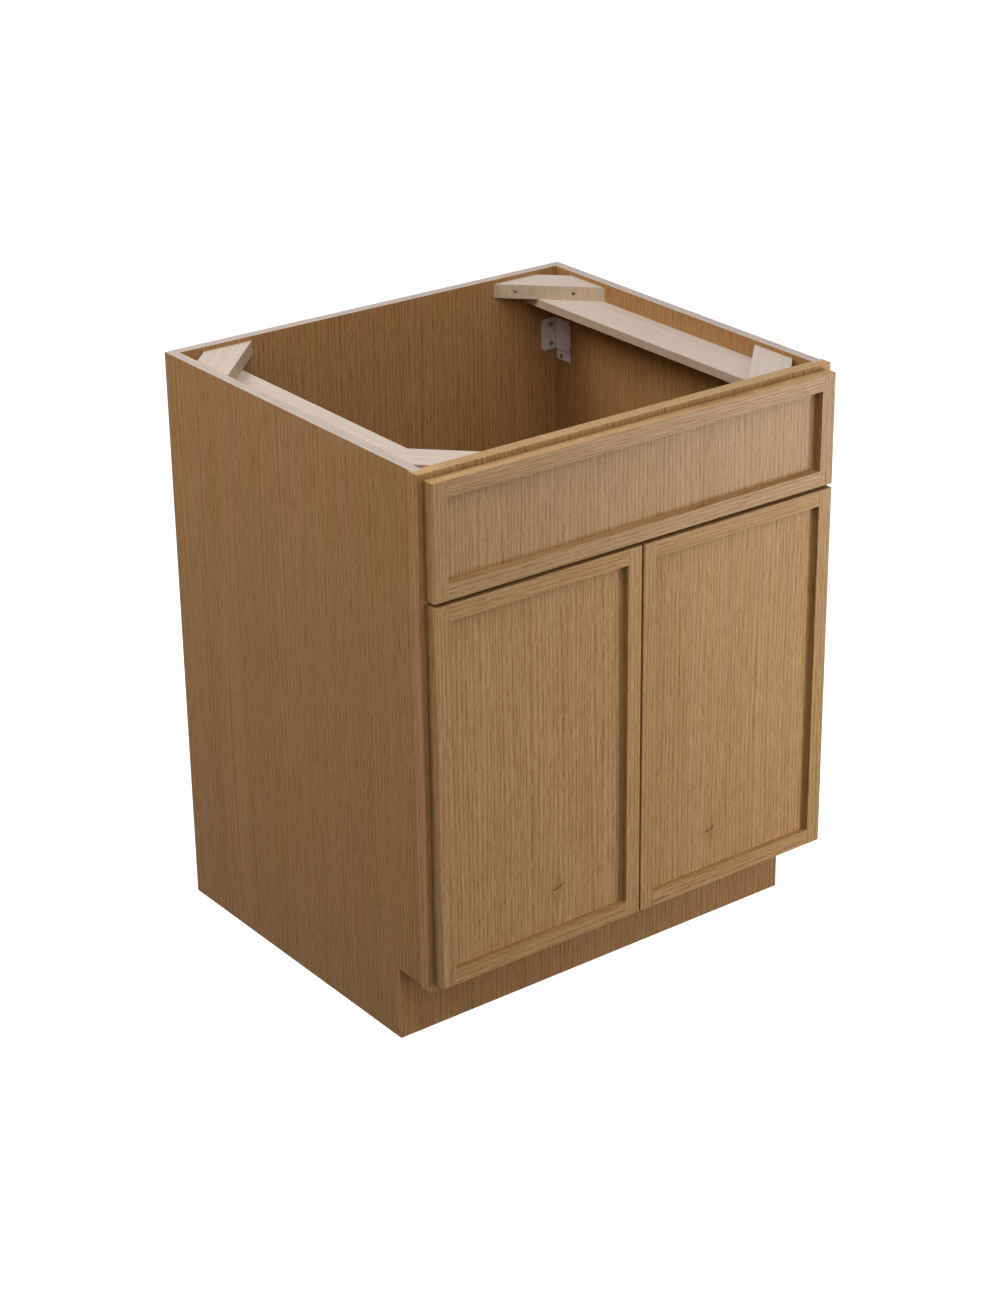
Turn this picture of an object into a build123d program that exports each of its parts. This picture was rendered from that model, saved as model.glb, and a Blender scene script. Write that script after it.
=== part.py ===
from build123d import *
import os
from math import sqrt

os.makedirs("parts", exist_ok=True)

# Sink base cabinet. Millimetres, +Z up, doors face -Y, the wall is at +Y.
# The origin is on the floor, under the middle of the closed cabinet.

# ---- case -------------------------------------------------------------
case_width = 711.2  # over the outer faces of the side panels
case_depth = 622.3  # front of the face frame to the back of the case
case_height = 876.3
panel_thickness = 15.875  # plywood sides, back and floor
dado_depth = 6.35  # slots in the side panels that hold the floor
rabbet_depth = 9.5  # step in the side panels that holds the back
joint_clearance = 0.2  # end play of a board in its slot

# ---- toe space --------------------------------------------------------
toe_height = 113.0
toe_depth = 76.2  # set back from the front of the face frame
toe_board_thickness = 12.7

# ---- face frame -------------------------------------------------------
frame_thickness = 19.05
frame_stile_width = 38.1
frame_rail_width = 38.1
frame_proud = 3.175  # face frame beyond each side panel
frame_groove_depth = 6.35  # slot in the back of a stile for the side panel

# ---- corner braces, side rails and brackets ---------------------------
brace_drop = 6.35  # top of the braces below the top of the case
brace_thickness = 22.0
brace_leg = 120.65  # along each wall to the long face
brace_board_width = 57.15
pocket_end_distance = 33.0  # from one end of the long face to the first hole
pocket_spacing = 90.0
pocket_bore_radius = 3.2
pocket_bore_depth = 9.0
side_rail_width = 72.0
side_rail_thickness = 12.7
bracket_sheet = 2.0
bracket_drop = 82.0  # top of the bracket below the top of the case
bracket_height = 51.5
bracket_back_leg = 28.6
bracket_side_leg = 38.8
bracket_chamfer = 4.5
bracket_notch = 3.5
bracket_top_notch = 7.0
bracket_bottom_notch = 8.0
bracket_joggle = 1.0  # side leg stands this far off the side panel
bracket_hole_radius = 2.4
bracket_hole_spacing = 30.7
bracket_hole_inset = 11.6  # holes in the back leg from the side panel
bracket_tab_start = 5.0  # tab's near edge from the back panel
bracket_tab_reach = 37.2  # its far edge
bracket_tab_height = 15.5
bracket_tab_hole_radius = 3.2
bracket_tab_hole_inset = 16.6  # hole in the tab from the back panel
bracket_tab_hole_rise = 6.0  # hole above the tab's lower edge
bracket_pilot_depth = 9.0  # the tab's hole carried on into the side panel

# ---- doors and false front --------------------------------------------
front_thickness = 19.05
front_gap = 1.95  # closed door to face frame
side_reveal = 8.5  # face frame seen beside a door
top_reveal = 7.8
bottom_reveal = 10.6
false_front_height = 167.3
front_spacing = 6.0  # between the false front and the doors
door_spacing = 3.2  # between the two doors
stile_width = 23.5
rail_width = 23.5
door_recess = 9.525  # panel face behind the frame's face
false_front_recess = 12.7
tongue_thickness = 3.2
tongue_depth = 6.35
panel_clearance = 0.3
arris_radius = 0.8  # softened outer edges of the fronts
button_radius = 4.5
button_inset = 14.0  # bumper centres from the edges they sit near
button_narrow_inset = 7.0  # the same where only half of the middle rail is behind them
button_clearance = 0.05

# ---- hinges -----------------------------------------------------------
hinge_end_distance = 76.2  # hinge centres from the ends of a door
pin_radius = 1.25
pin_inset = 5.4  # pin from the door's edge
pin_depth = 7.5  # pin below the door's back
running_clearance = 0.05  # arm's eye round the pin
eye_wall = 0.9
arm_thickness = 1.6
arm_width = 14.0
arm_reach = 9.0  # straight stretch that leaves the eye
arm_rise = 2.5  # then lifts clear of the cup's floor
base_length = 46.0
base_screw_spacing = 32.0
base_edge_margin = 1.2  # base plate inside the frame's thickness
base_corner_chamfer = 2.5
hinge_screw_radius = 2.1
cup_radius = 17.5
cup_inset = 22.5  # cup centre from the door's edge
cup_depth = 8.2
cup_wall = 0.8
cup_flange = 1.0
cup_wing_length = 58.0
cup_wing_width = 13.0
cup_wing_chamfer = 3.0
cup_screw_offset = 9.5
cup_screw_spacing = 45.0
cup_fit = 0.05
knuckle_clearance = 0.3  # eye and arm to the walls of the knuckle pocket
knuckle_pocket_length = 14.6  # pocket past the pin, towards the panel

# ---- positions worked out from the sizes ------------------------------
half_width = case_width / 2
inner_wall = half_width - panel_thickness
frame_half_width = half_width + frame_proud
frame_opening_half_width = frame_half_width - frame_stile_width

overall_depth = case_depth + front_gap + front_thickness
y_front = -overall_depth / 2
y_front_back = y_front + front_thickness
y_frame = y_front_back + front_gap
y_frame_back = y_frame + frame_thickness
y_case = y_frame + case_depth
y_back_inner = y_case - panel_thickness
y_toe = y_frame + toe_depth
y_toe_back = y_toe + toe_board_thickness

floor_top = toe_height + frame_rail_width
floor_bottom = floor_top - panel_thickness
front_edge_half = frame_half_width - side_reveal
false_front_top = case_height - top_reveal
false_front_bottom = false_front_top - false_front_height
door_top = false_front_bottom - front_spacing
door_bottom = toe_height + bottom_reveal
mid_rail_centre = (false_front_bottom + door_top) / 2
mid_rail_top = mid_rail_centre + frame_rail_width / 2
mid_rail_bottom = mid_rail_centre - frame_rail_width / 2
top_rail_bottom = case_height - frame_rail_width

brace_top = case_height - brace_drop
brace_bottom = brace_top - brace_thickness
brace_clip = brace_leg - brace_board_width * sqrt(2)

bracket_top = case_height - bracket_drop
bracket_bottom = bracket_top - bracket_height
bracket_tab_bottom = bracket_bottom - bracket_tab_height
tab_hole_y = y_back_inner - bracket_tab_hole_inset
tab_hole_z = bracket_tab_bottom + bracket_tab_hole_rise

eye_bore = pin_radius + running_clearance
eye_radius = eye_bore + eye_wall
knuckle_depth = pin_depth + eye_radius + knuckle_clearance + cup_wall
knuckle_half_width = arm_width / 2 + knuckle_clearance + cup_wall
pin_offset = pin_inset - cup_inset  # pin from the cup's centre, positive towards the panel

SIDES = {"left": -1, "right": 1}


def fill(u, v, mode=Mode.ADD):
    """Draw the rectangle that spans the ranges u and v of the sketch."""
    with Locations(((u[0] + u[1]) / 2, (v[0] + v[1]) / 2)):
        Rectangle(abs(u[1] - u[0]), abs(v[1] - v[0]), mode=mode)


def save(piece, name):
    """Label a finished piece and write it."""
    piece.part.label = name
    export_step(piece.part, f"parts/{name}.step")


def board(x, y, z):
    """A plain board between two corners."""
    with BuildPart() as plain:
        with BuildSketch(Plane.XY.offset(z[0])):
            fill(x, y)
        extrude(amount=z[1] - z[0])
    return plain


# ---- case -------------------------------------------------------------
def side_panel(side):
    """Plywood side with the toe notch, the floor's dado, the back's rabbet and a bracket's pilot hole."""
    outer = side * half_width
    inner = side * inner_wall
    with BuildPart() as panel:
        with BuildSketch(Plane.YZ.offset(min(outer, inner))):
            with BuildLine():
                front_edge = y_frame_back - frame_groove_depth
                Polyline(
                    (front_edge, toe_height),
                    (front_edge, case_height),
                    (y_case, case_height),
                    (y_case, 0),
                    (y_toe_back, 0),
                    (y_toe_back, toe_height),
                    close=True,
                )
            make_face()
        extrude(amount=panel_thickness)
        with BuildSketch(Plane.YZ.offset(inner)):
            fill((y_frame_back, y_back_inner), (floor_bottom, floor_top))
        extrude(amount=side * dado_depth, mode=Mode.SUBTRACT)
        with BuildSketch(Plane.YZ.offset(inner)):
            fill((y_back_inner, y_case), (0, case_height))
        extrude(amount=side * rabbet_depth, mode=Mode.SUBTRACT)
        with Locations(Plane(origin=(inner, tab_hole_y, tab_hole_z), z_dir=(-side, 0, 0))):
            Hole(bracket_tab_hole_radius, depth=bracket_pilot_depth)
    return panel


def back_panel():
    """Full-height back, let into the rabbets of both sides."""
    half = inner_wall + rabbet_depth
    return board((-half, half), (y_back_inner, y_case), (0, case_height))


def floor_panel():
    """Cabinet floor, its ends in the dados, with a little end play."""
    half = inner_wall + dado_depth - joint_clearance
    return board((-half, half), (y_frame_back, y_back_inner), (floor_bottom, floor_top))


def toe_board():
    """Full-width board that covers the notched edges and reaches up between the sides to the floor."""
    with BuildPart() as toe:
        with BuildSketch(Plane.XZ.offset(-y_toe)):
            fill((-half_width, half_width), (0, toe_height))
            fill((-inner_wall, inner_wall), (0, floor_bottom))
        extrude(amount=-toe_board_thickness)
    return toe


# ---- face frame -------------------------------------------------------
def frame_stile(side):
    """Upright of the face frame, slotted at the back for the side panel."""
    outer = side * frame_half_width
    inner = side * frame_opening_half_width
    with BuildPart() as stile:
        with BuildSketch(Plane.XY.offset(toe_height)):
            fill((outer, inner), (y_frame, y_frame_back))
            slot = (side * half_width, side * inner_wall)
            fill(slot, (y_frame_back - frame_groove_depth, y_frame_back), mode=Mode.SUBTRACT)
        extrude(amount=case_height - toe_height)
    return stile


def frame_rail(z):
    """Crosspiece of the face frame between the two stiles."""
    half = frame_opening_half_width
    return board((-half, half), (y_frame, y_frame_back), z)


# ---- top bracing ------------------------------------------------------
def corner_brace(corner, along):
    """Board set across a corner. along points down the wall that is nearest to the first screw hole."""
    flat = Plane(origin=(*corner, brace_bottom), x_dir=along, z_dir=(0, 0, 1))
    first = pocket_end_distance / sqrt(2)
    second = (pocket_end_distance + pocket_spacing) / sqrt(2)
    mid_height = brace_thickness / 2
    axis = flat.from_local_coords(Vector(-1, -1, 0)).sub(flat.origin).normalized()
    with BuildPart() as brace:
        with BuildSketch(flat):
            with BuildLine():
                Polyline((brace_clip, 0), (brace_leg, 0), (0, brace_leg), (0, brace_clip), close=True)
            make_face()
        extrude(amount=brace_thickness)
        # counterbores square to the long face, each as deep as its screw's head
        for reach in (first, second):
            mouth = flat.from_local_coords(Vector(brace_leg - reach, reach, mid_height))
            with BuildSketch(Plane(origin=mouth, z_dir=axis)):
                Circle(pocket_bore_radius)
            extrude(amount=pocket_bore_depth, mode=Mode.SUBTRACT)
    return brace


def side_rail(side):
    """Flat rail along a side panel, under the braces."""
    x = sorted((side * inner_wall, side * (inner_wall - side_rail_width)))
    z = (brace_bottom - side_rail_thickness, brace_bottom)
    return board(x, (y_frame_back, y_back_inner), z)


def corner_bracket(side):
    """Bent sheet bracket in a rear corner, with a screw tab stepped down on to the side panel."""
    wall = side * inner_wall
    inward = -side
    free = y_back_inner - bracket_side_leg
    stand_off = wall + inward * bracket_joggle
    step_z = (bracket_bottom, bracket_bottom + bracket_sheet)
    with BuildPart() as bracket:
        # back leg with clipped outer corners
        with BuildSketch(Plane.XZ.offset(-y_back_inner)) as back_leg:
            fill((stand_off, wall + inward * bracket_back_leg), (bracket_bottom, bracket_top))
            free_corners = back_leg.vertices().group_by(Axis.X)[0 if inward < 0 else -1]
            chamfer(free_corners, bracket_chamfer)
        extrude(amount=bracket_sheet)
        leg_face = Plane(
            origin=(
                wall + inward * bracket_hole_inset,
                y_back_inner - bracket_sheet,
                (bracket_top + bracket_bottom) / 2,
            ),
            x_dir=(1, 0, 0),
            z_dir=(0, -1, 0),
        )
        with Locations(leg_face):
            with GridLocations(0, bracket_hole_spacing, 1, 2):
                Hole(bracket_hole_radius, depth=bracket_sheet)
        # side leg, notched at its free edge
        with BuildSketch(Plane.YZ.offset(stand_off)):
            fill((free, y_back_inner), (bracket_bottom, bracket_top))
            for z, height in ((bracket_top, -bracket_top_notch), (bracket_bottom, bracket_bottom_notch)):
                fill((free, free + bracket_notch), (z, z + height), mode=Mode.SUBTRACT)
        extrude(amount=inward * bracket_sheet)
        # tab flat on the side panel, joined to the side leg by a short step
        near = y_back_inner - bracket_tab_start
        with BuildSketch(Plane.YZ.offset(wall)):
            fill((y_back_inner - bracket_tab_reach, near), (bracket_tab_bottom, step_z[1]))
        extrude(amount=inward * bracket_sheet)
        with BuildSketch(Plane.YZ.offset(wall)):
            fill((free + bracket_notch, near), step_z)
        extrude(amount=inward * (bracket_joggle + bracket_sheet))
        tab_face = Plane(origin=(wall + inward * bracket_sheet, tab_hole_y, tab_hole_z), z_dir=(inward, 0, 0))
        with Locations(tab_face):
            Hole(bracket_tab_hole_radius, depth=bracket_sheet)
    return bracket


# ---- panelled fronts --------------------------------------------------
def tongue_span(recess):
    """Depth range of the panel's tongue, which is level with the panel's face."""
    return (y_front + recess, y_front + recess + tongue_thickness)


def cup_plane(edge, inward, z):
    """Plane on a door's back at the middle of a hinge cup, x towards the panel, z out of the door."""
    return Plane(origin=(edge + inward * cup_inset, y_front_back, z), x_dir=(inward, 0, 0), z_dir=(0, 1, 0))


def cut_cup_seats(edge, inward, hinge_heights):
    """Bore the cup's round seat and its deep knuckle pocket from the back of the current piece."""
    near, far = knuckle_pocket_span(cup_fit)
    for z in hinge_heights:
        seat = cup_plane(edge, inward, z)
        with BuildSketch(seat) as round_seat:
            Circle(cup_radius)
        extrude(round_seat.sketch, amount=-cup_depth - cup_fit, mode=Mode.SUBTRACT)
        with BuildSketch(seat) as pocket:
            fill((near, far), (-knuckle_half_width - cup_fit, knuckle_half_width + cup_fit))
        extrude(pocket.sketch, amount=-knuckle_depth - cup_fit, mode=Mode.SUBTRACT)


def front_stile(edge, inward, z, recess, hinge_heights=()):
    """Upright of a panelled front, grooved for the panel, with its outer front edges softened."""
    inner = edge + inward * stile_width
    with BuildPart() as stile:
        with BuildSketch(Plane.XY.offset(z[0])):
            fill((edge, inner), (y_front, y_front_back))
            fill((inner - inward * tongue_depth, inner), tongue_span(recess), mode=Mode.SUBTRACT)
        extrude(amount=z[1] - z[0])
        rim = stile.faces().sort_by(Axis.Y)[0].edges()
        inner_edge = rim.filter_by(Axis.Z).sort_by(Axis.X)[-1 if inward > 0 else 0]
        fillet(rim - ShapeList([inner_edge]), arris_radius)
        cut_cup_seats(edge, inward, hinge_heights)
    return stile


def front_rail(x, z, panel_side, recess):
    """Crosspiece of a panelled front with stub tenons. panel_side is +1 where the panel is above it."""
    inner = z[1] if panel_side > 0 else z[0]
    length = x[1] - x[0]
    with BuildPart() as rail:
        with BuildSketch(Plane.YZ.offset(x[0])):
            fill((y_front, y_front_back), z)
        extrude(amount=length)
        outer_edge = rail.faces().sort_by(Axis.Y)[0].edges().filter_by(Axis.X)
        fillet(outer_edge.sort_by(Axis.Z)[0 if panel_side > 0 else -1], arris_radius)
        tenon = tongue_depth - joint_clearance
        with BuildSketch(Plane.YZ.offset(x[0] - tenon)):
            fill(tongue_span(recess), z)
        extrude(amount=length + 2 * tenon)
        with BuildSketch(Plane.YZ.offset(x[0] - tenon)):
            fill(tongue_span(recess), (inner - panel_side * tongue_depth, inner))
        extrude(amount=length + 2 * tenon, mode=Mode.SUBTRACT)
    return rail


def front_panel(x, z, recess, cups=()):
    """Recessed panel, flush with the back of its frame, with a tongue all round."""
    gap = panel_clearance
    reach = tongue_depth - panel_clearance
    tongue = tongue_span(recess)
    with BuildPart() as panel:
        with BuildSketch(Plane.XZ.offset(-tongue[0])):
            fill((x[0] + gap, x[1] - gap), (z[0] + gap, z[1] - gap))
        extrude(amount=-(front_thickness - recess))
        with BuildSketch(Plane.XZ.offset(-tongue[0])):
            fill((x[0] - reach, x[1] + reach), (z[0] - reach, z[1] + reach))
        extrude(amount=-tongue_thickness)
        for edge, inward, hinge_heights in cups:
            cut_cup_seats(edge, inward, hinge_heights)
    return panel


def save_front(name, x, z, recess, hinge_side=0, hinge_heights=()):
    """Make and write the five pieces of a panelled front."""
    panel_x = (x[0] + stile_width, x[1] - stile_width)
    panel_z = (z[0] + rail_width, z[1] - rail_width)
    left_cups = hinge_heights if hinge_side < 0 else ()
    right_cups = hinge_heights if hinge_side > 0 else ()
    save(front_stile(x[0], 1, z, recess, left_cups), f"{name}_left_stile")
    save(front_stile(x[1], -1, z, recess, right_cups), f"{name}_right_stile")
    save(front_rail(panel_x, (panel_z[1], z[1]), -1, recess), f"{name}_top_rail")
    save(front_rail(panel_x, (z[0], panel_z[0]), 1, recess), f"{name}_bottom_rail")
    cups = [(side * front_edge_half, -side, hinge_heights) for side in (hinge_side,) if side]
    save(front_panel(panel_x, panel_z, recess, cups), f"{name}_panel")


def buttons(centres, thickness):
    """Round bumper buttons on the back of a front."""
    with BuildPart() as group:
        with BuildSketch(Plane.XZ.offset(-y_front_back)):
            with Locations(*centres):
                Circle(button_radius)
        extrude(amount=-thickness)
    return group


# ---- hinges -----------------------------------------------------------
def knuckle_pocket_span(margin):
    """Range of the knuckle pocket's outer walls along the cup plane's x, grown by a margin."""
    near = pin_offset - eye_radius - knuckle_clearance - cup_wall - margin
    far = pin_offset + knuckle_pocket_length + cup_wall + margin
    return near, far


def hinge_cup(side, z):
    """Pressed cup with two screw wings and a deeper pocket that carries the pin."""
    seat = cup_plane(side * front_edge_half, -side, z)
    mouth = seat.offset(cup_flange)
    near, far = knuckle_pocket_span(0)
    shell = cup_radius - cup_fit
    with BuildPart() as cup:
        with BuildSketch(seat) as wings:
            with Locations((cup_screw_offset, 0)):
                Rectangle(cup_wing_width, cup_wing_length)
            chamfer(wings.vertices(), cup_wing_chamfer)
        extrude(amount=cup_flange)
        with BuildSketch(mouth):
            Circle(shell)
        extrude(amount=-(cup_flange + cup_depth))
        with BuildSketch(seat):
            fill((near, far), (-knuckle_half_width, knuckle_half_width))
        extrude(amount=-knuckle_depth)
        with BuildSketch(mouth):
            Circle(shell - cup_wall)
        extrude(amount=-(cup_flange + cup_depth - cup_wall), mode=Mode.SUBTRACT)
        with BuildSketch(mouth):
            width = knuckle_half_width - cup_wall
            fill((near + cup_wall, far - cup_wall), (-width, width))
        extrude(amount=-(cup_flange + knuckle_depth - cup_wall), mode=Mode.SUBTRACT)
        with Locations(mouth):
            half = cup_screw_spacing / 2
            with Locations((cup_screw_offset, -half), (cup_screw_offset, half)):
                Hole(hinge_screw_radius, depth=cup_flange)
        with BuildSketch(Plane.XY.offset(z - knuckle_half_width)):
            with Locations(pin_centre(side)):
                Circle(pin_radius)
        extrude(amount=2 * knuckle_half_width, mode=Mode.SUBTRACT)
    return cup


def pin_centre(side):
    """Plan position of a door's pins."""
    return (side * (front_edge_half - pin_inset), y_front_back - pin_depth)


def hinge_arm(side, z):
    """Gooseneck strip: an eye round the pin, a low stretch in the cup, then a base on the frame's edge."""
    pin_x, pin_y = pin_centre(side)
    inward = -side
    base_face = side * frame_opening_half_width
    leg = base_face + inward * arm_thickness / 2
    base_y = (y_frame + base_edge_margin, y_frame_back - base_edge_margin)
    bend_x = pin_x + inward * arm_reach
    low_y = pin_y + arm_rise
    with BuildPart() as arm:
        with BuildSketch(Plane.XY.offset(z - arm_width / 2)):
            with BuildLine():
                Polyline(
                    (pin_x, pin_y),
                    (bend_x, pin_y),
                    (bend_x + inward * arm_reach, low_y),
                    (leg, low_y),
                    (leg, base_y[1]),
                )
            trace(line_width=arm_thickness)
            with Locations((pin_x, pin_y)):
                Circle(eye_radius)
                Circle(eye_bore, mode=Mode.SUBTRACT)
        extrude(amount=arm_width)
        plate = Plane(origin=(base_face, sum(base_y) / 2, z), x_dir=(0, 1, 0), z_dir=(inward, 0, 0))
        with BuildSketch(plate) as base:
            Rectangle(base_y[1] - base_y[0], base_length)
            chamfer(base.vertices(), base_corner_chamfer)
        extrude(amount=arm_thickness)
        with Locations(plate.offset(arm_thickness)):
            with Locations((0, -base_screw_spacing / 2), (0, base_screw_spacing / 2)):
                Hole(hinge_screw_radius, depth=arm_thickness)
    return arm


def hinge_pins(side, heights):
    """The pins of one door, held by the walls of the knuckle pockets."""
    with BuildPart() as pins:
        for z in heights:
            with BuildSketch(Plane.XY.offset(z - knuckle_half_width)):
                with Locations(pin_centre(side)):
                    Circle(pin_radius)
            extrude(amount=2 * knuckle_half_width)
    return pins


# ---- write every piece ------------------------------------------------
hinge_heights = {"lower": door_bottom + hinge_end_distance, "upper": door_top - hinge_end_distance}
button_rows = (door_bottom + button_inset, door_top - button_narrow_inset)

save(back_panel(), "back_panel")
save(floor_panel(), "floor_panel")
save(toe_board(), "toe_board")
save(frame_rail((top_rail_bottom, case_height)), "frame_top_rail")
save(frame_rail((mid_rail_bottom, mid_rail_top)), "frame_middle_rail")
save(frame_rail((toe_height, floor_top)), "frame_bottom_rail")

corners = {
    "back_right": ((inner_wall, y_back_inner), (-1, 0, 0)),
    "back_left": ((-inner_wall, y_back_inner), (0, -1, 0)),
    "front_left": ((-inner_wall, y_frame_back), (1, 0, 0)),
    "front_right": ((inner_wall, y_frame_back), (0, 1, 0)),
}
for place, (corner, along) in corners.items():
    save(corner_brace(corner, along), f"brace_{place}")

false_front_x = (-front_edge_half, front_edge_half)
save_front("false_front", false_front_x, (false_front_bottom, false_front_top), false_front_recess)
spacer_x = front_edge_half - button_inset
spacer_rows = (false_front_bottom + button_narrow_inset, false_front_top - button_inset)
spacer_centres = [(x, z) for x in (-spacer_x, spacer_x) for z in spacer_rows]
save(buttons(spacer_centres, front_gap), "false_front_spacers")

for name, side in SIDES.items():
    save(side_panel(side), f"{name}_side_panel")
    save(frame_stile(side), f"frame_{name}_stile")
    save(side_rail(side), f"{name}_side_rail")
    save(corner_bracket(side), f"{name}_corner_bracket")

    door_x = sorted((side * front_edge_half, side * door_spacing / 2))
    heights = tuple(hinge_heights.values())
    save_front(f"{name}_door", door_x, (door_bottom, door_top), door_recess, side, heights)
    bumper_x = side * (door_spacing / 2 + button_inset)
    bumper_centres = [(bumper_x, z) for z in button_rows]
    save(buttons(bumper_centres, front_gap - button_clearance), f"{name}_door_bumpers")
    save(hinge_pins(side, heights), f"{name}_hinge_pins")
    for level, z in hinge_heights.items():
        save(hinge_cup(side, z), f"{name}_{level}_hinge_cup")
        save(hinge_arm(side, z), f"{name}_{level}_hinge_arm")
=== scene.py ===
# %% [markdown]
# # A sink base cabinet in oak
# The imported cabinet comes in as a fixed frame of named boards, hinges and brackets. Nothing here moves or
# reshapes them. What follows gives each board its own stretch of oak, each metal part its plating or
# paint, and drives the screws that hold it all together. Lengths are metres, +Z is up and the doors
# face -Y.

import bpy
import numpy as np
from mathutils import Matrix, Vector


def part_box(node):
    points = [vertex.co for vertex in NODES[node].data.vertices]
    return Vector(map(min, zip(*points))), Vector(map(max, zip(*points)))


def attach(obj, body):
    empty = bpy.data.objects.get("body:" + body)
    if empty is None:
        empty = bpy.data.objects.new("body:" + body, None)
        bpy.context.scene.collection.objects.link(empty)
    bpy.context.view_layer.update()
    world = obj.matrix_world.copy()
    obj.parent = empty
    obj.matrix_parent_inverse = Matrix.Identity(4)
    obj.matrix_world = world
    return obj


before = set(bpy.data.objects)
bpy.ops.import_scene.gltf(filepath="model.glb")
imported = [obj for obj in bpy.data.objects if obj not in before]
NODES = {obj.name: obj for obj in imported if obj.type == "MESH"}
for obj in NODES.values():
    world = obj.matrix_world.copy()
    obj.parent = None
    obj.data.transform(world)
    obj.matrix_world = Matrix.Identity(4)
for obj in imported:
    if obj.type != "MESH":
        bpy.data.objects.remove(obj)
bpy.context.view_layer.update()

MM = 0.001

# %% [markdown]
# ## Where the camera stands
# The photograph looks down on the left front corner from about four and a half metres. A long lens keeps
# the upright edges nearly parallel. The camera is placed by three directions: its right, its up, and the
# way it looks, which is the product of the two. Angles would do as well, but a fit to the photograph's
# corners gives the directions themselves. The small shift stands for a picture cropped off centre.

# %% Camera
PHOTO_SIZE = (1000, 1300)  # pixels
OPTICAL_CENTRE = (587.65, 643.83)  # pixel that the lens points at
FOCAL_PIXELS = 2870.8
SENSOR = 36.0  # millimetres along the taller side of the picture


def make_camera(place, right, up):
    """A camera whose matrix has the right, up and backward directions as its columns."""
    right, up = Vector(right).normalized(), Vector(up).normalized()
    backward = right.cross(up).normalized()
    up = backward.cross(right)
    data = bpy.data.cameras.new("photo_camera")
    data.sensor_width = SENSOR
    data.lens = SENSOR * FOCAL_PIXELS / PHOTO_SIZE[1]
    data.shift_x = (PHOTO_SIZE[0] / 2 - OPTICAL_CENTRE[0]) / PHOTO_SIZE[1]
    data.shift_y = (OPTICAL_CENTRE[1] - PHOTO_SIZE[1] / 2) / PHOTO_SIZE[1]
    camera = bpy.data.objects.new("photo_camera", data)
    bpy.context.scene.collection.objects.link(camera)
    turn = Matrix((right, up, backward)).transposed().to_4x4()
    camera.matrix_world = Matrix.Translation(place) @ turn
    return camera


CAMERA_PLACE = (-2.31827, -3.10100, 2.19010)
CAMERA_RIGHT = (0.78153, -0.62387, 0.00141)
CAMERA_UP = (0.25685, 0.32383, 0.91058)
camera = make_camera(CAMERA_PLACE, CAMERA_RIGHT, CAMERA_UP)
bpy.context.scene.camera = camera
shift = (round(camera.data.shift_x, 4), round(camera.data.shift_y, 4))
print("lens:", round(camera.data.lens, 2), "mm, shift:", shift)

# %% [markdown]
# ## A pale studio
# A cabinet of one wood shows its shape only by light. Seven soft lamps do that here. Two small low ones at
# the right front brighten the fronts towards the right and leave a pale sheen on their satin. Two high and
# very large ones in front light the face from both sides, so that the narrow steps between the boards
# aren't lost in shadow. A weak one straight in front softens what shadow is left. One overhead lights the
# open top. One from the far left keeps the side panel a tone darker than the doors and reaches the back.
# The world fills the rest with a slightly warm light, as wood around wood gives.

# %% Lamps
LAMPS = {  # place, length of a side in metres, and power in watts
    "lamp_low_right": ((1.35, -1.5, 0.35), 0.5, 13.2),
    "lamp_near_right": ((0.9, -1.5, 0.7), 0.6, 7),
    "lamp_high_right": ((1.0, -2.4, 3.6), 3.6, 28),
    "lamp_high_left": ((-1.5, -2.0, 3.4), 3.6, 70),
    "lamp_wide_front": ((0.5, -3.0, 1.6), 3.5, 10),
    "lamp_overhead": ((0.3, 0.2, 3.6), 2.2, 24),
    "lamp_far_left": ((-1.8, 1.3, 2.9), 1.4, 68),
}
LAMP_AIM = Vector((0, 0, 0.45))  # the middle of the cabinet


def soft_lamp(name, place, size, power):
    """A square lamp of the given size, turned towards the middle of the cabinet."""
    data = bpy.data.lights.new(name, "AREA")
    data.shape, data.size, data.energy = "SQUARE", size, power
    lamp = bpy.data.objects.new(name, data)
    bpy.context.scene.collection.objects.link(lamp)
    lamp.location = place
    lamp.rotation_euler = (LAMP_AIM - Vector(place)).to_track_quat("-Z", "Y").to_euler()


for name, (place, size, power) in LAMPS.items():
    soft_lamp(name, place, size, power)
print("lamps:", len(LAMPS), "watts:", sum(power for _, _, power in LAMPS.values()))

# %% [markdown]
# ## Finishes in short words
# A material is a tree of small steps, and written out in full each step takes several lines. The class
# below shortens a step to one call with its inputs. Colours are read off as screen values from 0 to 255
# and turned into the light that shaders work in.

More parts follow.
